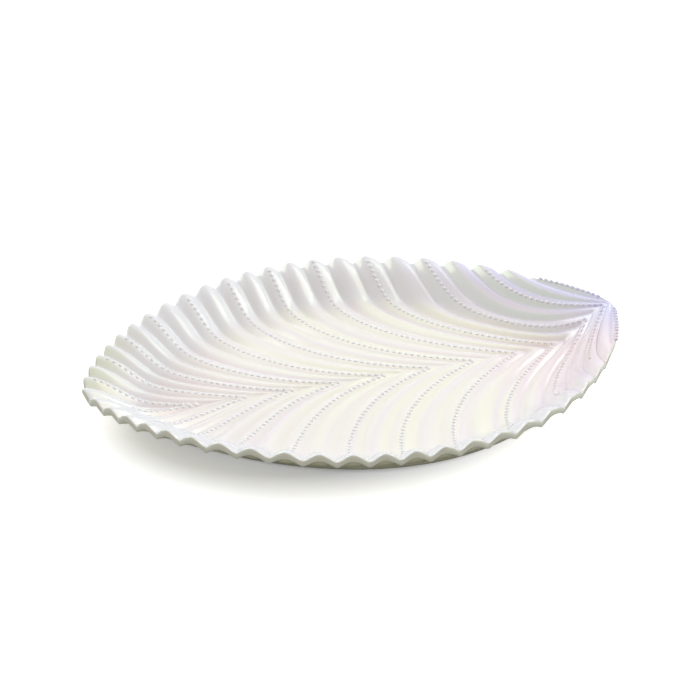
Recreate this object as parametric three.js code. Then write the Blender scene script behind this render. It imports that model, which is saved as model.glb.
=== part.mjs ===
// A leaf-shaped serving platter, pressed in one piece from opal glass, in millimetres with +Z up.
// The leaf lies along X with its stem tip towards +X, and it stands on the plane z = 0.
import * as THREE from 'three';
import { mergeVertices } from 'three/addons/utils/BufferGeometryUtils.js';

// Driving dimensions of the leaf
const LENGTH = 330; // from the leaf tip to the stem tip
const WIDTH = 268; // across the widest place, half-way along
const RIM_HEIGHT = 25.3; // rim crests above the well, half-way along
const RIM_CLIMB = 3.3; // how much the rim gains from half-way to the stem tip, and loses to the leaf tip
const WALL_RUN = 23.8; // level distance from the rim in to the crease where the wall meets the well
const LIP_PITCH = THREE.MathUtils.degToRad(12); // slope of the wall at the rim, where it flares out

// Driving dimensions of the glass
const FLOOR_THICKNESS = 5.5; // glass under the well, foot included
const WALL_THICKNESS = 3.6; // glass of the rim and under the furrows, measured upright
const FOOT_INSET = 47; // from the rim in to the edge of the flat foot
const CREASE_ROUNDING = 18; // softness of the crease where the well turns up into the wall

// Driving dimensions of the flutes and ribs
const RIBS_PER_SIDE = 23; // the last rib on each side is the rim itself, next to the stem tip
const LAST_RIB = 60; // length of that last rib
const RIM_WAVE = 2.3; // half the height of a wave at the rim
const WELL_WAVE = 0.4; // half the height of a rib in the well
const FLUTE_REACH = 42; // from the rim in to where the flutes have mostly run out into the well
const SCALLOP = 1.2; // how far the rim draws in between two crests
const FIRST_ROOT = 52.5; // from the leaf tip to where the first rib leaves the midrib
const CREST_DRIFT = 3.9; // most that the crests wander along the rim from their smooth spread

// Shape numbers, which have no unit
const LEAF_FULLNESS = 1.46; // 1 is an ellipse, and more draws the leaf in towards its tips
const STEM_TAPER = 0.06; // how much slimmer the stem end is than the leaf end
const CREST_SPREAD = 0.161; // how much the crests spread out towards the stem
const DRIFT_START = 0.3375; // share of the ribs, counted from the leaf tip, before the drift turns
const DRIFT_LENGTH = 0.52; // share of the ribs in one full swing of the drift
const FURROW_ROUNDING = 1.1; // 1 makes sharp furrows between round ribs, and 2 makes a plain sine wave
const STEM_LEAN = 0.9; // how far the furrows at the stem lean over to the next crest, 1 being the most
const LEAN_GROWTH = 4; // how late along the leaf that lean sets in
const ROOT_CROWDING = 1.18; // how soon the ribs' roots crowd together towards the stem tip
const CROWDING_SHARPNESS = 14; // how suddenly they do so
const RIB_BOW = 0.69; // how far out the last rib's elbow lies, as a share of the way to the rim
const BOW_GROWTH = 1.5; // how that share grows from none at the leaf tip
const STRAIGHTEST_RIB = 0.78; // share of the ribs, counted from the leaf tip, before the straightest one
const TIP_TURN = 2.18; // how soon the ribs on either side of it bend away towards the tips
const MOST_TURN = 0.9; // the bend of the ribs at the leaf tip, where 1 would double them back
const STEEPEST_FLUTE = 0.16; // most wave height allowed for the room that a wave has

// Fineness of the mesh
const STEPS_PER_WAVE = 6;
const TOP_ROWS = 9;
const UNDERSIDE_ROWS = 5;
const OUTLINE_STEPS = 400;
const HALVINGS = 20;
const TINY = 0.01;

const halfLength = LENGTH / 2;
const columnCount = RIBS_PER_SIDE * STEPS_PER_WAVE;

// Plan outline of one half of the leaf, from the leaf tip to the stem tip, as short straight pieces.
function outlinePoint(turn) {
  const x = -halfLength * Math.cos(turn);
  const fullness = LEAF_FULLNESS + STEM_TAPER * (x / halfLength);
  const y = (WIDTH / 2) * Math.sin(turn) ** fullness;
  return new THREE.Vector3(x, y, 0);
}

const outline = [];
const runLength = [0];
for (let step = 0; step < OUTLINE_STEPS; step++) {
  const start = outlinePoint((Math.PI * step) / OUTLINE_STEPS);
  const isLast = step === OUTLINE_STEPS - 1;
  const end = isLast ? new THREE.Vector3(halfLength, 0, 0) : outlinePoint((Math.PI * (step + 1)) / OUTLINE_STEPS);
  const piece = new THREE.Line3(start, end);
  outline.push(piece);
  runLength.push(runLength[step] + piece.distance());
}
const fullRun = runLength[OUTLINE_STEPS];

// Place on the outline at a run from the leaf tip, moved in by an inset.
function outlineAt(run, inset) {
  let index = runLength.findIndex((length) => length >= run) - 1;
  index = THREE.MathUtils.clamp(index, 0, OUTLINE_STEPS - 1);
  const piece = outline[index];
  const point = piece.at((run - runLength[index]) / piece.distance(), new THREE.Vector3());
  const along = piece.delta(new THREE.Vector3()).normalize();
  return point.add(new THREE.Vector3(along.y, -along.x, 0).multiplyScalar(inset));
}

function distanceToRim(point) {
  const nearest = new THREE.Vector3();
  let least = Infinity;
  for (const piece of outline) {
    piece.closestPointToPoint(point, true, nearest);
    least = Math.min(least, nearest.distanceTo(point));
  }
  return least;
}

// Height of the wave that is counted from the leaf tip: 1 on a crest, -1 in a furrow.
// Towards the stem the furrows lean over to the next crest, except the one beside the last rib.
function waveHeight(wave) {
  const turn = 2 * Math.PI * wave;
  const lean = wave < RIBS_PER_SIDE - 1 ? STEM_LEAN * (wave / RIBS_PER_SIDE) ** LEAN_GROWTH : 0;
  const leanedTurn = turn - lean * (1 - Math.cos(turn));
  return 2 * Math.abs(Math.cos(leanedTurn / 2)) ** FURROW_ROUNDING - 1;
}

// How far along the rim a wave ends.
function rimRun(wave) {
  const share = wave / RIBS_PER_SIDE;
  const spread = (fullRun - LAST_RIB) * (share - CREST_SPREAD * share * (1 - share));
  const swing = Math.sin((2 * Math.PI * (share - DRIFT_START)) / DRIFT_LENGTH);
  return spread + CREST_DRIFT * swing * Math.sin(Math.PI * share);
}

// Place on the midrib where a rib has its root. The roots are evenly spaced and crowd at the stem tip.
function rootX(wave) {
  const crowd = (share) => {
    const even = ROOT_CROWDING * share;
    return even / (1 + even ** CROWDING_SHARPNESS) ** (1 / CROWDING_SHARPNESS);
  };
  return -halfLength + FIRST_ROOT + ((LENGTH - FIRST_ROOT) * crowd(wave / RIBS_PER_SIDE)) / crowd(1);
}

// Plan point on a rib, from its root on the midrib (reach 0) to the rim (reach 1).
// Crests end on the outline and furrows inside it, and the last rib runs along the outline.
function ribPoint(wave, reach) {
  const end = outlineAt(rimRun(wave), (SCALLOP * (1 - waveHeight(wave))) / 2);
  const root = new THREE.Vector3(rootX(wave), 0, 0);
  const share = wave / RIBS_PER_SIDE;
  const turn = Math.min(TIP_TURN * (share - STRAIGHTEST_RIB) ** 2, MOST_TURN);
  const bow = RIB_BOW * share ** BOW_GROWTH;
  const elbow = new THREE.Vector3(THREE.MathUtils.lerp(end.x, root.x, turn), bow * end.y, 0);
  const inner = new THREE.QuadraticBezierCurve3(root, elbow, end).getPoint(reach);
  const outer = outlineAt(fullRun - LAST_RIB * reach, 0);
  const shareOfOuter = Math.max(wave - (RIBS_PER_SIDE - 1), 0);
  return inner.lerp(outer, shareOfOuter);
}

// Room that a wave has: across it, square to its rib, or along the rib where that is less.
function waveRoom(wave, reach) {
  const before = Math.max(wave - 0.5, 0);
  const after = Math.min(wave + 0.5, RIBS_PER_SIDE);
  const across = ribPoint(after, reach).sub(ribPoint(before, reach)).divideScalar(after - before);
  const inner = ribPoint(wave, Math.max(reach - TINY, 0));
  const along = ribPoint(wave, Math.min(reach + TINY, 1)).sub(inner).normalize();
  const ribLength = ribPoint(wave, 0).distanceTo(ribPoint(wave, 1));
  return Math.min(across.cross(along).length(), ribLength);
}

// A height above the well, with what would lie below the well turned off softly.
function roundedOff(height) {
  return (height + Math.hypot(height, CREASE_ROUNDING)) / 2;
}

// Mean level of the upper face at a plan point, and half the height that the waves may have there.
function dishAt(point) {
  const rimLevel = RIM_HEIGHT + RIM_CLIMB * (point.x / halfLength) - RIM_WAVE;
  const inward = distanceToRim(point);
  const lipDrop = Math.tan(LIP_PITCH) * inward;
  const flareDrop = (rimLevel - Math.tan(LIP_PITCH) * WALL_RUN) * (inward / WALL_RUN) ** 2;
  const fall = rimLevel - lipDrop - flareDrop;
  const upWall = roundedOff(fall) / roundedOff(rimLevel);
  const half = THREE.MathUtils.lerp(WELL_WAVE, RIM_WAVE, Math.exp(-((inward / FLUTE_REACH) ** 2)));
  return { level: FLOOR_THICKNESS + rimLevel * upWall, half };
}

// Upper face: one column of points for each step along the rim, from the midrib out to the rim.
const columns = [];
for (let column = 0; column <= columnCount; column++) {
  const wave = column / STEPS_PER_WAVE;
  const points = [];
  for (let row = 0; row <= TOP_ROWS; row++) {
    const point = ribPoint(wave, row / TOP_ROWS);
    const dish = dishAt(point);
    const half = Math.min(dish.half, STEEPEST_FLUTE * waveRoom(wave, row / TOP_ROWS));
    points.push(point.setZ(dish.level + half * waveHeight(wave)));
  }
  columns.push(points);
}

// The foot is the part of the leaf that lies further than its inset from the rim.
// It has a point on the midrib at each end, found by halving.
function footEnd(tipX) {
  let inside = 0;
  let outside = tipX;
  for (let halving = 0; halving < HALVINGS; halving++) {
    const middle = (inside + outside) / 2;
    if (distanceToRim(new THREE.Vector3(middle, 0, 0)) > FOOT_INSET) inside = middle;
    else outside = middle;
  }
  return new THREE.Vector3(inside, 0, 0);
}
const footLeafEnd = footEnd(-halfLength);
const footStemEnd = footEnd(halfLength);
function footEdge(run) {
  const edge = outlineAt(run, FOOT_INSET);
  const isOnFoot = edge.y > 0 && distanceToRim(edge) > FOOT_INSET - TINY;
  if (isOnFoot) return edge;
  return edge.x < 0 ? footLeafEnd : footStemEnd;
}

// Rim from the leaf tip to the stem tip: the ends of the columns, then the last column back to its root.
const rim = columns.map((points, column) => ({ top: points[TOP_ROWS], run: rimRun(column / STEPS_PER_WAVE) }));
for (let row = TOP_ROWS - 1; row >= 0; row--) {
  rim.push({ top: columns[columnCount][row], run: fullRun - (LAST_RIB * row) / TOP_ROWS });
}

// Underside: from each place on the rim straight in to the edge of the foot, with the waves fading out.
const undersides = rim.map(({ top, run }) => {
  const foot = footEdge(run);
  const points = [top.clone().setZ(top.z - WALL_THICKNESS)];
  for (let row = 1; row < UNDERSIDE_ROWS; row++) {
    const point = new THREE.Vector3(top.x, top.y, 0).lerp(foot, row / UNDERSIDE_ROWS);
    const dish = dishAt(point);
    points.push(point.setZ(dish.level - dish.half - WALL_THICKNESS));
  }
  points.push(foot);
  return points;
});

// Triangles of the half at y > 0, and the same ones turned over for its mirror image.
const corners = [];
function mirrored(point) {
  return new THREE.Vector3(point.x, -point.y, point.z);
}
function addTriangle(a, b, c) {
  if (a === b || b === c || c === a) return;
  corners.push(a, b, c);
  corners.push(mirrored(a), mirrored(c), mirrored(b));
}
function addQuad(a, b, c, d) {
  addTriangle(a, b, c);
  addTriangle(a, c, d);
}
for (let column = 0; column < columnCount; column++) {
  const here = columns[column];
  const next = columns[column + 1];
  for (let row = 0; row < TOP_ROWS; row++) addQuad(here[row], next[row], next[row + 1], here[row + 1]);
}
for (let place = 0; place < rim.length - 1; place++) {
  const here = [rim[place].top, ...undersides[place]];
  const next = [rim[place + 1].top, ...undersides[place + 1]];
  for (let row = 0; row <= UNDERSIDE_ROWS; row++) addQuad(here[row], next[row], next[row + 1], here[row + 1]);
}

// The foot's flat face, bounded by its edge on both sides of the midrib.
const footPoints = [...new Set(undersides.map((points) => points[UNDERSIDE_ROWS]))];
const farEdge = footPoints.slice(1, -1).reverse();
const footLoop = [...footPoints.map(mirrored), ...farEdge];
const footOutline = footLoop.map((point) => new THREE.Vector2(point.x, point.y));
for (const [a, b, c] of THREE.ShapeUtils.triangulateShape(footOutline, [])) {
  corners.push(footLoop[a], footLoop[c], footLoop[b]);
}

const opalGlass = new THREE.MeshStandardMaterial({ color: 0xf1ece2, roughness: 0.12, metalness: 0 });

const platterGeometry = mergeVertices(new THREE.BufferGeometry().setFromPoints(corners), 1e-4);
platterGeometry.computeVertexNormals();
const leafPlatter = new THREE.Mesh(platterGeometry, opalGlass);
leafPlatter.name = 'leaf_platter';

const platter = new THREE.Group();
platter.add(leafPlatter);

export default platter;
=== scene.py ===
# %% [markdown]
# # A leaf platter in pressed opal glass
# The object is one pressing of white glass: a leaf-shaped dish with a fluted wall, a wavy rim and ribs
# that fan out from a midrib, every second one set with beads. A thin pearl lustre covers it.
# The imported solid is loaded first as a fixed frame, and the dressed model is made to lie inside its box.

# %% Load the imported frame
import itertools
import math

import bmesh
import bpy
import numpy as np
from mathutils import Matrix, Vector


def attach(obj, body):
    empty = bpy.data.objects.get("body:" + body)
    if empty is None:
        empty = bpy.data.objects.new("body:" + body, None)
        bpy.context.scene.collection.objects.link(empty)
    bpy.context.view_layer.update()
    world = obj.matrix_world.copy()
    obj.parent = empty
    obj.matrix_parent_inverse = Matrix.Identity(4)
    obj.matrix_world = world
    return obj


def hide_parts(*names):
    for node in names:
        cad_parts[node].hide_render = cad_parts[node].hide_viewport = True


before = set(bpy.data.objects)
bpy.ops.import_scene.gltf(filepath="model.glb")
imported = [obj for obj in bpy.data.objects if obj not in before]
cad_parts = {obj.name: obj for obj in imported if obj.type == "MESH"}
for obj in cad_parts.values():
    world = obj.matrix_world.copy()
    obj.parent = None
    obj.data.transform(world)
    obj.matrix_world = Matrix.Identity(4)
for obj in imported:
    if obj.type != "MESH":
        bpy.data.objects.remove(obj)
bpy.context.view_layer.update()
MM = 0.001

# %% [markdown]
# ## The camera
# The photograph looks down on the leaf from its front left, from a little under a metre away.
# A camera can be aimed with a Track To constraint, but here its three axes are worked out once from a
# yaw and an elevation and written straight into its matrix, so nothing has to be evaluated later.
# The lens is given as a focal length in pixels of the 700 pixel frame, then turned into millimetres.

# %% Camera at the photograph's viewing angle
FRAME_PIXELS = 700
FOCAL_PIXELS = 1422.2
SENSOR_WIDTH = 36
CAMERA_ELEVATION = math.radians(25.373)
CAMERA_YAW = math.radians(-19.658)
CAMERA_DISTANCE = 845.3 * MM
CAMERA_SLIDE_RIGHT = -7.04 * MM
CAMERA_SLIDE_UP = 17.33 * MM
FLOOR_THICKNESS = 5.5 * MM

level_back = math.cos(CAMERA_ELEVATION)
camera_back = Vector((
    math.sin(CAMERA_YAW) * level_back,
    -math.cos(CAMERA_YAW) * level_back,
    math.sin(CAMERA_ELEVATION),
))
camera_right = Vector((math.cos(CAMERA_YAW), math.sin(CAMERA_YAW), 0))
camera_up = camera_back.cross(camera_right)
camera_place = Vector((0, 0, FLOOR_THICKNESS)) + camera_back * CAMERA_DISTANCE
camera_place += camera_right * CAMERA_SLIDE_RIGHT + camera_up * CAMERA_SLIDE_UP

camera = bpy.data.objects.new("camera", bpy.data.cameras.new("camera"))
camera.data.sensor_width = SENSOR_WIDTH
camera.data.lens = SENSOR_WIDTH * FOCAL_PIXELS / FRAME_PIXELS
camera.matrix_world = Matrix((camera_right, camera_up, camera_back)).transposed().to_4x4()
camera.matrix_world.translation = camera_place
bpy.context.scene.collection.objects.link(camera)
bpy.context.scene.camera = camera
bpy.context.scene.view_settings.view_transform = "Standard"
print(f"camera at {[round(part, 3) for part in camera_place]}, lens {camera.data.lens:.1f} mm")

# %% [markdown]
# ## The plan of the leaf
# Seen from above, the rim is a leaf: an ellipse whose sides draw in towards both tips. One formula gives
# half of it, from the leaf tip to the stem tip, and the other half is mirrored later.
# The length run along the outline is kept too, because the crests of the rim are spaced along it.

# %% Half outline of the leaf
LENGTH = 330 * MM
# A hair less than the solid's 268 mm, so that this finer mesh stays inside the solid's box.
WIDTH = 267.97 * MM
LEAF_FULLNESS = 1.46
STEM_TAPER = 0.06
OUTLINE_STEPS = 400
BATCH_SIZE = 1000

turns = np.linspace(0, math.pi, OUTLINE_STEPS + 1)
outline_x = -LENGTH / 2 * np.cos(turns)
fullness = LEAF_FULLNESS + STEM_TAPER * outline_x / (LENGTH / 2)
outline_y = WIDTH / 2 * np.sin(turns).clip(0) ** fullness
outline_y[-1] = 0
outline = np.stack([outline_x, outline_y], axis=-1)
outline_parts = np.diff(outline, axis=0)
part_lengths = np.linalg.norm(outline_parts, axis=1)
runs = np.concatenate([[0], np.cumsum(part_lengths)])
inward = np.stack([outline_parts[:, 1], -outline_parts[:, 0]], axis=-1) / part_lengths[:, None]


def outline_at(run, inset):
    """Place on the outline at a run from the leaf tip, moved in by an inset."""
    index = np.clip(np.searchsorted(runs, run) - 1, 0, OUTLINE_STEPS - 1)
    place = np.stack([np.interp(run, runs, outline[:, axis]) for axis in range(2)], axis=-1)
    return place + inward[index] * np.asarray(inset)[..., None]


def distance_to_line(points, line):
    """Distance of each plan point from a line of short straight pieces."""
    start = line[:-1]
    along = np.diff(line, axis=0)
    squares = (along ** 2).sum(axis=1)
    nearest = []
    for batch in np.array_split(points, max(len(points) // BATCH_SIZE, 1)):
        offset = batch[:, None, :] - start
        share = ((offset * along).sum(axis=2) / squares).clip(0, 1)
        gap = offset - share[..., None] * along
        nearest.append(np.sqrt((gap ** 2).sum(axis=2).min(axis=1)))
    return np.concatenate(nearest)


print(f"half of the rim is {runs[-1] / MM:.0f} mm long")

# %% [markdown]
# ## The ribs
# Each rib leaves the midrib and bows out to the rim. Its plan is a curve with three control points: the
# root, an elbow and the end on the rim. A wave number counts the crests from the leaf tip, so that whole
# numbers are crests and halves are the furrows between them.
# Across, the ribs are round and the furrows sharp, as in a scallop shell. Near the stem the ribs lean over
# like roof tiles, and on the very edge of the rim the furrows are a little rounder.
# The last rib is the rim itself, from the stem tip back along the leaf's edge.

# %% Ribs in plan
RIBS_PER_SIDE = 23
LAST_RIB = 60 * MM
SCALLOP = 1.2 * MM
FIRST_ROOT = 52.5 * MM
CREST_SPREAD = 0.161
CREST_DRIFT = 3.9 * MM
DRIFT_START = 0.3375
DRIFT_LENGTH = 0.52
FURROW_ROUNDING = 1.1
RIM_ROUNDING = 1.3
STEM_LEAN = 0.9
LEAN_GROWTH = 4
ROOT_CROWDING = 1.18
CROWDING_SHARPNESS = 14
RIB_BOW = 0.69
BOW_GROWTH = 1.5
STRAIGHTEST_RIB = 0.78
TIP_TURN = 2.18
MOST_TURN = 0.9
HALF_WAVE = 0.5
REACH_STEP = 0.01
SHORTEST_STEP = 1e-9


def leaned_turn(wave):
    """Angle of a wave from its crest. All but the last furrow lean, near the stem, to the next crest."""
    turn = 2 * np.pi * wave
    lean = STEM_LEAN * (wave / RIBS_PER_SIDE) ** LEAN_GROWTH * (wave < RIBS_PER_SIDE - 1)
    return turn - lean * (1 - np.cos(turn))


def wave_height(wave, rounding):
    """1 on the round crests and -1 in the furrows, which a rounding of 1 makes sharp and 2 makes round."""
    return 2 * np.abs(np.cos(leaned_turn(wave) / 2)) ** rounding - 1


def rim_run(wave):
    """How far along the rim a wave ends."""
    share = wave / RIBS_PER_SIDE
    spread = (runs[-1] - LAST_RIB) * (share - CREST_SPREAD * share * (1 - share))
    swing = np.sin(2 * np.pi * (share - DRIFT_START) / DRIFT_LENGTH)
    return spread + CREST_DRIFT * swing * np.sin(np.pi * share)


def crowd(share):
    """Even spacing that saturates towards the stem tip."""
    even = ROOT_CROWDING * share
    return even / (1 + even ** CROWDING_SHARPNESS) ** (1 / CROWDING_SHARPNESS)


def root_x(wave):
    """Place on the midrib where a rib has its root."""
    return -LENGTH / 2 + FIRST_ROOT + (LENGTH - FIRST_ROOT) * crowd(wave / RIBS_PER_SIDE) / crowd(1)


def rib_point(wave, reach):
    """Plan point on a rib, from its root on the midrib (reach 0) to the rim (reach 1)."""
    wave, reach = np.broadcast_arrays(np.asarray(wave, float), np.asarray(reach, float))
    end = outline_at(rim_run(wave), SCALLOP * (1 - wave_height(wave, RIM_ROUNDING)) / 2)
    root = np.stack([root_x(wave), np.zeros_like(wave)], axis=-1)
    share = wave / RIBS_PER_SIDE
    turn = np.minimum(TIP_TURN * (share - STRAIGHTEST_RIB) ** 2, MOST_TURN)
    bow = RIB_BOW * share ** BOW_GROWTH
    elbow = np.stack([end[..., 0] + turn * (root[..., 0] - end[..., 0]), bow * end[..., 1]], axis=-1)
    step = reach[..., None]
    inner = (1 - step) ** 2 * root + 2 * step * (1 - step) * elbow + step ** 2 * end
    outer = outline_at(runs[-1] - LAST_RIB * reach, np.zeros_like(reach))
    share_of_outer = np.maximum(wave - (RIBS_PER_SIDE - 1), 0)[..., None]
    return inner + (outer - inner) * share_of_outer


def wave_room(wave, reach):
    """Room that a wave has: across it, square to its rib, or along the rib where that is less."""
    before = np.maximum(wave - HALF_WAVE, 0)
    after = np.minimum(wave + HALF_WAVE, RIBS_PER_SIDE)
    across = (rib_point(after, reach) - rib_point(before, reach)) / (after - before)[..., None]
    ahead = rib_point(wave, np.minimum(reach + REACH_STEP, 1))
    behind = rib_point(wave, np.maximum(reach - REACH_STEP, 0))
    along = ahead - behind
    along /= np.maximum(np.linalg.norm(along, axis=-1), SHORTEST_STEP)[..., None]
    room_across = np.abs(across[..., 0] * along[..., 1] - across[..., 1] * along[..., 0])
    rib_length = np.linalg.norm(rib_point(wave, 1) - rib_point(wave, 0), axis=-1)
    return np.minimum(room_across, rib_length)


print(f"first root at x = {root_x(0) / MM:.0f} mm, last at {root_x(RIBS_PER_SIDE) / MM:.0f} mm")

# %% [markdown]
# ## The section of the dish
# Cut across, the platter is a shallow well, a soft crease and a wall that flares out to the rim. The flutes
# are waves laid over that section: full waves on the wall, which run out into low ribs in the well.
# Writing the height as a formula of the plan place keeps the well, the wall and the flutes in one surface.

# %% Heights of the glass
RIM_HEIGHT = 25.3 * MM
RIM_CLIMB = 3.3 * MM
WALL_RUN = 23.8 * MM
LIP_PITCH = math.radians(12)
LIP_SLOPE = math.tan(LIP_PITCH)
CREASE_ROUNDING = 18 * MM
WALL_THICKNESS = 3.6 * MM
RIM_WAVE = 2.3 * MM
WELL_WAVE = 0.4 * MM
FLUTE_REACH = 42 * MM
STEEPEST_FLUTE = 0.16


def rounded_off(height):
    """A height above the well, with what would lie below the well turned off softly."""
    return (height + np.hypot(height, CREASE_ROUNDING)) / 2


def dish_at(points):
    """Mean level of the upper face at plan points, the waves' half height and the share of the wall."""
    rim_level = RIM_HEIGHT + RIM_CLIMB * points[:, 0] / (LENGTH / 2) - RIM_WAVE
    inset = distance_to_line(points, outline)
    flare_drop = (rim_level - LIP_SLOPE * WALL_RUN) * (inset / WALL_RUN) ** 2
    fall = rim_level - LIP_SLOPE * inset - flare_drop
    up_wall = rounded_off(fall) / rounded_off(rim_level)
    half = WELL_WAVE + (RIM_WAVE - WELL_WAVE) * np.exp(-(inset / FLUTE_REACH) ** 2)
    return FLOOR_THICKNESS + rim_level * up_wall, half, up_wall


def flute_at(wave, reach, half, rounding=FURROW_ROUNDING):
    """How far the waves lift the upper face at places given by wave and reach."""
    return np.minimum(half, STEEPEST_FLUTE * wave_room(wave, reach)) * wave_height(wave, rounding)


print(f"the rim stands {(FLOOR_THICKNESS + RIM_HEIGHT) / MM:.1f} mm high half-way along")

# %% [markdown]
# ## The sheet of glass
# The upper face starts as a flat grid: one direction counts the waves along the rim, the other runs along
# a rib from the midrib to the rim. Each corner of the grid is then moved to its place on the leaf, and the
# half leaf is mirrored across the midrib. A subdivided plane with a Displace modifier could give the
# flutes, but not ribs that bow, so the grid is bent by the formulas above.
# Rows and columns crowd together next to the rim, where the edge of the glass is rounded off.

# %% Upper face as a bent grid
STEPS_PER_WAVE = 12
LAST_WAVE_STEPS = 18
LAST_WAVE_CROWDING = 2.2
WELL_ROWS = 44
WELL_REACH = 0.965
LIP_REACHES = [0.975, 0.983, 0.989, 0.993, 0.996, 0.9985, 1]
EDGE_ROUNDING = 1.5 * MM
WAVE_FADE = 9 * MM
FOOT_INSET = 47 * MM
FOOT_STEP = 5 * MM
GRID_HALF = 0.5
MIRROR_MERGE = 1e-6

even_waves = np.linspace(0, RIBS_PER_SIDE - 1, (RIBS_PER_SIDE - 1) * STEPS_PER_WAVE + 1)
last_steps = np.linspace(0, 1, LAST_WAVE_STEPS + 1)[1:]
waves = np.concatenate([even_waves, RIBS_PER_SIDE - (1 - last_steps) ** LAST_WAVE_CROWDING])
reaches = np.concatenate([np.linspace(0, WELL_REACH, WELL_ROWS), LIP_REACHES])
wave_grid, reach_grid = [table.ravel() for table in np.meshgrid(waves, reaches, indexing="ij")]

places = rib_point(wave_grid, reach_grid)
level, half, up_wall = dish_at(places)
rim_line = np.concatenate([rib_point(waves, 1), rib_point(RIBS_PER_SIDE, reaches[::-1])[1:]])
to_edge = distance_to_line(places, rim_line)
near_edge = (1 - to_edge / EDGE_ROUNDING).clip(0, 1)
edge_drop = EDGE_ROUNDING * (1 - np.sqrt(1 - near_edge ** 2))
fade = (1 - to_edge / WAVE_FADE).clip(0, 1)
furrow_rounding = FURROW_ROUNDING + (RIM_ROUNDING - FURROW_ROUNDING) * fade
flutes = flute_at(wave_grid, reach_grid, half, furrow_rounding)
upper = level + flutes - edge_drop
under = level - WALL_THICKNESS + fade * flutes - (1 - fade) * half + edge_drop
onto_foot = ((distance_to_line(places, outline) - FOOT_INSET) / FOOT_STEP + 1).clip(0, 1)
eased_onto_foot = onto_foot ** 2 * (3 - 2 * onto_foot)
under *= 1 - eased_onto_foot

glass = bmesh.new()
columns = len(waves) - 1
rows = len(reaches) - 1
bmesh.ops.create_grid(glass, x_segments=columns, y_segments=rows, size=GRID_HALF)
underside = glass.verts.layers.float.new("underside")
kept_wave = glass.verts.layers.float.new("wave")
flank = glass.verts.layers.float.new("flank")
outside = glass.verts.layers.float.new("outside")
wall = glass.verts.layers.float.new("wall")
rim = glass.verts.layers.float.new("rim")
for corner in glass.verts:
    column = round((corner.co.x + GRID_HALF) * columns)
    row = round((corner.co.y + GRID_HALF) * rows)
    index = column * len(reaches) + row
    corner.co = (places[index, 0], places[index, 1], upper[index])
    corner[underside] = under[index]
    corner[kept_wave] = wave_grid[index]
    corner[flank] = math.sin(leaned_turn(wave_grid[index]))
    corner[wall] = up_wall[index]
    corner[rim] = fade[index]
half_leaf = [*glass.verts, *glass.edges, *glass.faces]
bmesh.ops.mirror(glass, geom=half_leaf, axis="Y", merge_dist=MIRROR_MERGE)
print(f"upper face: {len(glass.verts)} corners, {len(glass.faces)} faces")

# %% [markdown]
# ## The thickness of the glass
# Pressed glass is thicker at the foot than at the rim, and plain below: the waves of the rim fade out a
# little way down the outside. A Solidify modifier sets a thickness and not a height, and the foot has to be
# flat, so the whole sheet is extruded instead. The new lower sheet drops to heights that were kept with
# each corner.

# %% Extrude the sheet down to the underside
DOUBLES_MERGE = 1e-7
CUBIC_CM = 1e-6

lower_sheet = bmesh.ops.extrude_face_region(glass, geom=glass.faces[:])
for corner in lower_sheet["geom"]:
    if isinstance(corner, bmesh.types.BMVert):
        corner.co.z = corner[underside]
        corner[outside] = 1
bmesh.ops.remove_doubles(glass, verts=glass.verts[:], dist=DOUBLES_MERGE)
bmesh.ops.recalc_face_normals(glass, faces=glass.faces[:])
open_edges = sum(1 for edge in glass.edges if len(edge.link_faces) != 2)
volume = glass.calc_volume() / CUBIC_CM
print(f"glass: {len(glass.faces)} faces, {open_edges} open edges, {volume:.0f} cubic cm")


def finished_piece(mesh_source, name):
    """Turns a bmesh into a smooth object that rides on the platter's body."""
    mesh = bpy.data.meshes.new(name)
    mesh_source.to_mesh(mesh)
    mesh_source.free()
    mesh.shade_smooth()
    piece = bpy.data.objects.new(name, mesh)
    bpy.context.scene.collection.objects.link(piece)
    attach(piece, "root")
    return piece


platter = finished_piece(glass, "platter_glass")
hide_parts("leaf_platter")

# %% [markdown]
# ## The beads
# Every second rib carries a row of small round beads, pressed with the rest of the glass. Each bead is a
# low-sided sphere, flattened and sunk into the crest of its rib, and turned to stand square to the glass.
# There are hundreds of them, so each has only a few dozen faces, and smooth shading does the rest.
# On the far side the rows climb the wall up to the rim. On the near side they stop where the wall begins,
# all but the row along the edge at the stem.

# %% Beads along every second rib
BEAD_PITCH = 4 * MM
BEAD_RADIUS = 1.5 * MM
BEAD_FLATNESS = 0.7
BEAD_SINK = 0.35 * MM
BEAD_START = 3 * MM
FAR_CLEARANCE = 4 * MM
NEAR_CLEARANCE = 26 * MM
STEM_CLEARANCE = 3 * MM
LAST_BEADED_WAVE = 22.84
BEAD_SIDES = 8
BEAD_RINGS = 5
ROW_STEPS = 400

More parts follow.
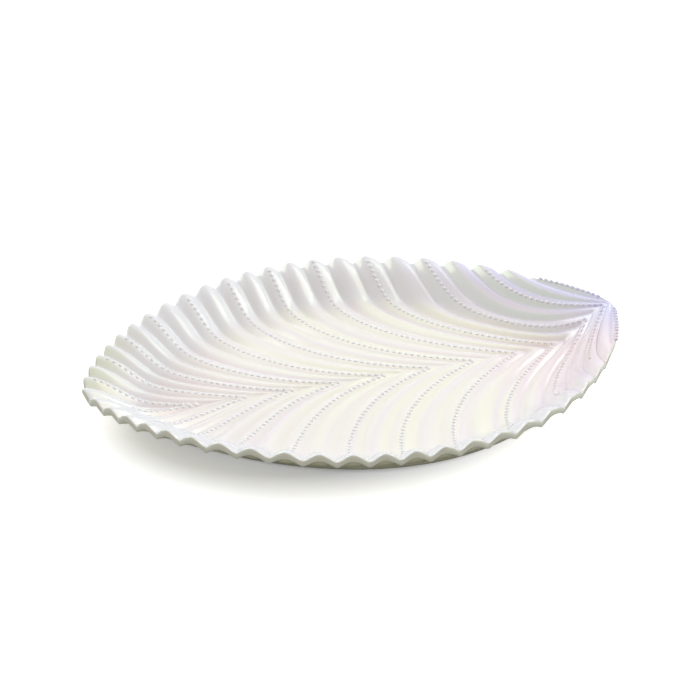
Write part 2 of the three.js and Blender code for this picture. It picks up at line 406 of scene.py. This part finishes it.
beads = bmesh.new()
bead_shape = Matrix.Diagonal((BEAD_RADIUS, BEAD_RADIUS, BEAD_RADIUS * BEAD_FLATNESS, 1))
straight_up = Vector((0, 0, 1))
fine_reaches = np.linspace(0, 1, ROW_STEPS)
beaded_waves = [*range(1, RIBS_PER_SIDE, 2), LAST_BEADED_WAVE]
bead_count = 0
for wave, side in itertools.product(beaded_waves, (1, -1)):
    wave_row = np.full_like(fine_reaches, wave)
    plan = rib_point(wave_row, fine_reaches)
    row_level, row_half, _ = dish_at(plan)
    crest = row_level + flute_at(wave_row, fine_reaches, row_half)
    line = np.column_stack([plan[:, 0], side * plan[:, 1], crest])
    run = np.concatenate([[0], np.cumsum(np.linalg.norm(np.diff(line, axis=0), axis=1))])
    slopes = np.gradient(line, run, axis=0)
    stops_at_crease = side < 0 and wave < LAST_BEADED_WAVE
    stop = run[-1] - (NEAR_CLEARANCE if stops_at_crease else FAR_CLEARANCE)
    row = bmesh.new()
    for place in np.arange(BEAD_START, stop, BEAD_PITCH):
        middle = Vector([np.interp(place, run, line[:, axis]) for axis in range(3)])
        if middle.x > LENGTH / 2 - STEM_CLEARANCE:
            continue
        along = Vector([np.interp(place, run, slopes[:, axis]) for axis in range(3)]).normalized()
        square = along.cross(straight_up.cross(along)).normalized()
        stand = straight_up.rotation_difference(square).to_matrix().to_4x4()
        settle = Matrix.Translation(middle - square * BEAD_SINK) @ stand @ bead_shape
        bmesh.ops.create_uvsphere(
            row, u_segments=BEAD_SIDES, v_segments=BEAD_RINGS, radius=1, matrix=settle
        )
        bead_count += 1
    row_mesh = bpy.data.meshes.new("bead_row")
    row.to_mesh(row_mesh)
    row.free()
    beads.from_mesh(row_mesh)
    bpy.data.meshes.remove(row_mesh)
bead_wall = beads.verts.layers.float.new("wall")
for corner in beads.verts:
    corner[bead_wall] = 1
bead_rows = finished_piece(beads, "rib_beads")
print(f"{bead_count} beads on {2 * len(beaded_waves)} ribs, {len(bead_rows.data.polygons)} faces")

# %% [markdown]
# ## The glass and its lustre
# Opal glass is white all through and glossy. The lustre is a film of metal oxide, a few hundred
# nanometres thick, that splits the light it reflects into pale pinks, yellows and greens.
# The Principled shader has a thin film of its own, which gives the reflections much of their colour.
# The body colour is painted to go with it: cream in the well with pink stripes along the ribs, pinker towards
# the leaf tip and cooler on the wall. The stem tip is lavender. Over it go painted sheen and painted shade
# as the lustre shows them in this light: lilac and lavender on the flanks near the stem that face it, rose on
# the near side at the stem, grey green as painted shade on the far flanks there that face the leaf tip, and a
# little yellow green on the flutes of the leaf tip where they face the leaf tip. Outside, the foot is plain
# white and the wall a pale olive under a grey edge, and both the olive and the grey are partly painted shade.
# The stripes and flutes are found again through the numbers that were kept with the corners of the glass.

# %% Lustred opal glass
PINK = (0.89, 0.81, 0.825, 1)
CREAM = (0.915, 0.88, 0.765, 1)
COOL_WHITE = (0.86, 0.845, 0.88, 1)
LAVENDER = (0.75, 0.73, 0.97, 1)
LILAC_SHEEN = (0.85, 0.76, 0.88, 1)
ROSE_SHEEN = (0.91, 0.77, 0.8, 1)
GREY_GREEN_SHADE = (0.77, 0.82, 0.79, 1)
YELLOW_GREEN_SHEEN = (0.84, 0.86, 0.74, 1)
OLIVE_AND_SHADE = (0.7, 0.68, 0.46, 1)
EDGE_GREY_AND_SHADE = (0.66, 0.65, 0.56, 1)
PLAIN_WHITE = (0.82, 0.81, 0.75, 1)
GLASS_IOR = 1.5
GLASS_ROUGHNESS = 0.15
FILM_NANOMETRES = 285
FILM_IOR = 1.61
STRIPE_SCALE = 1.4
STRIPE_DETAIL = 1
PINK_STRIPE_END = 0.38
CREAM_STRIPE_START = 0.55

opal = bpy.data.materials.new("lustred_opal_glass")
opal.use_nodes = True
nodes = opal.node_tree.nodes
links = opal.node_tree.links
shader = nodes["Principled BSDF"]
shader.inputs["IOR"].default_value = GLASS_IOR
shader.inputs["Roughness"].default_value = GLASS_ROUGHNESS
shader.inputs["Thin Film Thickness"].default_value = FILM_NANOMETRES
shader.inputs["Thin Film IOR"].default_value = FILM_IOR


def kept(name):
    """A number that was kept with each corner of the glass."""
    reader = nodes.new("ShaderNodeAttribute")
    reader.attribute_name = name
    return reader.outputs["Fac"]


def share_between(value, none_at, all_at):
    """0 on one side, 1 on the other and smooth in between."""
    scale = nodes.new("ShaderNodeMapRange")
    scale.interpolation_type = "SMOOTHSTEP"
    scale.inputs["From Min"].default_value = none_at
    scale.inputs["From Max"].default_value = all_at
    links.new(value, scale.inputs["Value"])
    return scale.outputs["Result"]


def joined(tree, operation, first, second):
    """Two numbers joined by a math node of a material or of the room."""
    node = tree.nodes.new("ShaderNodeMath")
    node.operation = operation
    tree.links.new(first, node.inputs[0])
    tree.links.new(second, node.inputs[1])
    return node.outputs["Value"]


def both(first, second):
    """The product of two shares."""
    return joined(opal.node_tree, "MULTIPLY", first, second)


def tinted(ground, tint, share):
    """A tint laid over a ground colour by a share."""
    mix = nodes.new("ShaderNodeMixRGB")
    mix.inputs["Color2"].default_value = tint
    links.new(ground, mix.inputs["Color1"])
    links.new(share, mix.inputs["Fac"])
    return mix.outputs["Color"]


place_node = nodes.new("ShaderNodeTexCoord")
place_parts = nodes.new("ShaderNodeSeparateXYZ")
links.new(place_node.outputs["Object"], place_parts.inputs["Vector"])
along_leaf = place_parts.outputs["X"]
across_leaf = place_parts.outputs["Y"]
stripe_place = nodes.new("ShaderNodeCombineXYZ")
links.new(kept("wave"), stripe_place.inputs["X"])
links.new(kept("wall"), stripe_place.inputs["Y"])
stripes = nodes.new("ShaderNodeTexNoise")
stripes.inputs["Scale"].default_value = STRIPE_SCALE
stripes.inputs["Detail"].default_value = STRIPE_DETAIL
links.new(stripe_place.outputs["Vector"], stripes.inputs["Vector"])
body = nodes.new("ShaderNodeValToRGB")
body.color_ramp.elements[0].position = PINK_STRIPE_END
body.color_ramp.elements[0].color = PINK
body.color_ramp.elements[1].position = CREAM_STRIPE_START
body.color_ramp.elements[1].color = CREAM
links.new(stripes.outputs["Fac"], body.inputs["Fac"])

at_stem = share_between(along_leaf, 40 * MM, 150 * MM)
at_stem_tip = share_between(along_leaf, 130 * MM, 168 * MM)
towards_leaf_tip = share_between(along_leaf, 20 * MM, -150 * MM)
at_leaf_tip = share_between(along_leaf, -100 * MM, -155 * MM)
on_near_side = share_between(across_leaf, 20 * MM, -20 * MM)
on_far_side = share_between(across_leaf, 0, 30 * MM)
on_wall = share_between(kept("wall"), 0.03, 0.3)
high_on_wall = share_between(kept("wall"), 0.4, 0.9)
on_edge = share_between(kept("rim"), 0.86, 0.96)
facing_stem = share_between(kept("flank"), -0.3, 0.9)
facing_leaf_tip = share_between(kept("flank"), 0.1, -0.9)
outer_face = kept("outside")
sheen_stem_flanks = both(at_stem, facing_stem)
sheen_flute_backs = both(facing_leaf_tip, high_on_wall)
shaded_far_stem_flanks = both(both(at_stem, on_far_side), both(facing_leaf_tip, on_wall))

colour = tinted(body.outputs["Color"], PINK, towards_leaf_tip)
colour = tinted(colour, COOL_WHITE, on_wall)
# Painted sheen: lilac and lavender on the flanks near the stem that face it.
colour = tinted(colour, LILAC_SHEEN, sheen_stem_flanks)
colour = tinted(colour, LAVENDER, both(sheen_stem_flanks, high_on_wall))
# Painted sheen: rose on the near side at the stem only.
colour = tinted(colour, ROSE_SHEEN, both(at_stem, on_near_side))
colour = tinted(colour, LAVENDER, at_stem_tip)
# Painted sheen: yellow green on the high flanks of the leaf tip's flutes that face the leaf tip.
colour = tinted(colour, YELLOW_GREEN_SHEEN, both(at_leaf_tip, sheen_flute_backs))
# Painted shade: grey green on the far flanks at the stem that face the leaf tip.
colour = tinted(colour, GREY_GREEN_SHADE, shaded_far_stem_flanks)
colour = tinted(colour, PLAIN_WHITE, outer_face)
# Partly painted shade: the outer wall is olive and darker, as in the shade under the rim.
colour = tinted(colour, OLIVE_AND_SHADE, both(outer_face, on_wall))
# Partly painted shade: the edge of the rim is greyer and darker.
colour = tinted(colour, EDGE_GREY_AND_SHADE, on_edge)
links.new(colour, shader.inputs["Base Color"])

platter.data.materials.append(opal)
bead_rows.data.materials.append(opal)
print("opal glass with a lustre film of", FILM_NANOMETRES, "nm")

# %% [markdown]
# ## Floor and light
# The platter stands on white paper under soft light: one large softbox to the right, one behind the platter
# on the left, and a dim room that is brighter above and to the right. Reflections and the camera see the
# room white. A small lamp beside the first softbox puts soft white bands on the far flutes.
# The floor is part diffuse, which takes the shadow, and part glow, which only the camera sees. The glow
# brings the floor up to the white of the backdrop without more light on the glass. A painted shadow makes
# it weaker in an oval under the platter, moved a little to the left, and a painted contact shade makes it
# weaker still right where the glass meets the paper, so that the contact stays visible.

# %% White floor, softboxes and room
WHITE = (1, 1, 1, 1)
PAPER_GREY = (0.75, 0.75, 0.75, 1)
FLOOR_HALF = 6
# The oval of the painted shadow is measured in half lengths and half widths of the leaf.
SHADOW_SHIFT = (0.2, 0.02, 0)
SHADOW_START = 0.65
SHADOW_END = 0.97
GLOW_IN_SHADOW = 0.36
FULL_GLOW = 1
CONTACT_REACH = 3.6 * MM

floor_sheet = bmesh.new()
bmesh.ops.create_grid(floor_sheet, x_segments=1, y_segments=1, size=FLOOR_HALF)
floor_mesh = bpy.data.meshes.new("floor")
floor_sheet.to_mesh(floor_mesh)
floor_sheet.free()
floor = bpy.data.objects.new("floor", floor_mesh)
bpy.context.scene.collection.objects.link(floor)

paper = bpy.data.materials.new("white_paper")
paper.use_nodes = True
paper_nodes = paper.node_tree.nodes
paper_links = paper.node_tree.links
paper_shader = paper_nodes["Principled BSDF"]
paper_shader.inputs["Base Color"].default_value = PAPER_GREY
paper_shader.inputs["Roughness"].default_value = 1
paper_shader.inputs["Specular IOR Level"].default_value = 0
paper_shader.inputs["Emission Color"].default_value = WHITE
paper_path = paper_nodes.new("ShaderNodeLightPath")
paper_place = paper_nodes.new("ShaderNodeTexCoord")
# Painted shadow: the glow is lowered in an oval under the platter.
paper_oval = paper_nodes.new("ShaderNodeVectorMath")
paper_oval.operation = "MULTIPLY_ADD"
paper_oval.inputs[1].default_value = (2 / LENGTH, 2 / WIDTH, 0)
paper_oval.inputs[2].default_value = SHADOW_SHIFT
paper_reach = paper_nodes.new("ShaderNodeVectorMath")
paper_reach.operation = "LENGTH"
painted_shadow_level = paper_nodes.new("ShaderNodeMapRange")
painted_shadow_level.inputs["From Min"].default_value = SHADOW_START
painted_shadow_level.inputs["From Max"].default_value = SHADOW_END
painted_shadow_level.inputs["To Min"].default_value = GLOW_IN_SHADOW
painted_shadow_level.inputs["To Max"].default_value = FULL_GLOW
# Painted contact shade: the glow is lowered further where the glass meets the paper.
painted_contact_shade = paper_nodes.new("ShaderNodeAmbientOcclusion")
painted_contact_shade.inputs["Distance"].default_value = CONTACT_REACH
paper_links.new(paper_place.outputs["Object"], paper_oval.inputs[0])
paper_links.new(paper_oval.outputs["Vector"], paper_reach.inputs[0])
paper_links.new(paper_reach.outputs["Value"], painted_shadow_level.inputs["Value"])
paper_glow = joined(paper.node_tree, "MULTIPLY", painted_shadow_level.outputs["Result"], painted_contact_shade.outputs["AO"])
paper_seen = joined(paper.node_tree, "MULTIPLY", paper_glow, paper_path.outputs["Is Camera Ray"])
paper_links.new(paper_seen, paper_shader.inputs["Emission Strength"])
floor.data.materials.append(paper)


def softbox(name, place, width, height, power):
    """A rectangular area lamp at a place, turned to face the middle of the platter's foot."""
    lamp = bpy.data.lights.new(name, "AREA")
    lamp.shape = "RECTANGLE"
    lamp.size = width
    lamp.size_y = height
    lamp.energy = power
    holder = bpy.data.objects.new(name, lamp)
    holder.location = place
    holder.rotation_euler = (-Vector(place)).to_track_quat("-Z", "Y").to_euler()
    bpy.context.scene.collection.objects.link(holder)


softbox("key_softbox", place=(1.0, 0.1, 0.85), width=1.3, height=1.1, power=9.0)
softbox("glint_lamp", place=(1.0, 0.42, 0.72), width=0.16, height=0.16, power=0.6)
softbox("back_softbox", place=(-0.6, 1.0, 0.7), width=1.4, height=0.8, power=9.5)

BRIGHT_SIDE = (0.5, 0.4, 0.77)
DIM_UP_TO = -0.6
BRIGHT_FROM = 0.8
DIM_LIGHT = 0.41
BRIGHT_LIGHT = 0.575
SEEN_LIGHT = 1
world = bpy.data.worlds.new("white_room")
bpy.context.scene.world = world
world.use_nodes = True
room_nodes = world.node_tree.nodes
room_links = world.node_tree.links
room = room_nodes["Background"]
room.inputs["Color"].default_value = WHITE
room_path = room_nodes.new("ShaderNodeLightPath")
room_place = room_nodes.new("ShaderNodeTexCoord")
room_side = room_nodes.new("ShaderNodeVectorMath")
room_side.operation = "DOT_PRODUCT"
room_side.inputs[1].default_value = BRIGHT_SIDE
room_light = room_nodes.new("ShaderNodeMapRange")
room_light.inputs["From Min"].default_value = DIM_UP_TO
room_light.inputs["From Max"].default_value = BRIGHT_FROM
room_light.inputs["To Min"].default_value = DIM_LIGHT
room_light.inputs["To Max"].default_value = BRIGHT_LIGHT
room_level = room_nodes.new("ShaderNodeMix")
room_level.inputs["B"].default_value = SEEN_LIGHT
seen_by_camera = room_path.outputs["Is Camera Ray"]
seen_in_gloss = room_path.outputs["Is Glossy Ray"]
room_seen = joined(world.node_tree, "MAXIMUM", seen_by_camera, seen_in_gloss)
room_links.new(room_place.outputs["Generated"], room_side.inputs[0])
room_links.new(room_side.outputs["Value"], room_light.inputs["Value"])
room_links.new(room_light.outputs["Result"], room_level.inputs["A"])
room_links.new(room_seen, room_level.inputs["Factor"])
room_links.new(room_level.outputs["Result"], room.inputs["Strength"])
print("two softboxes, a glint lamp and a white room")
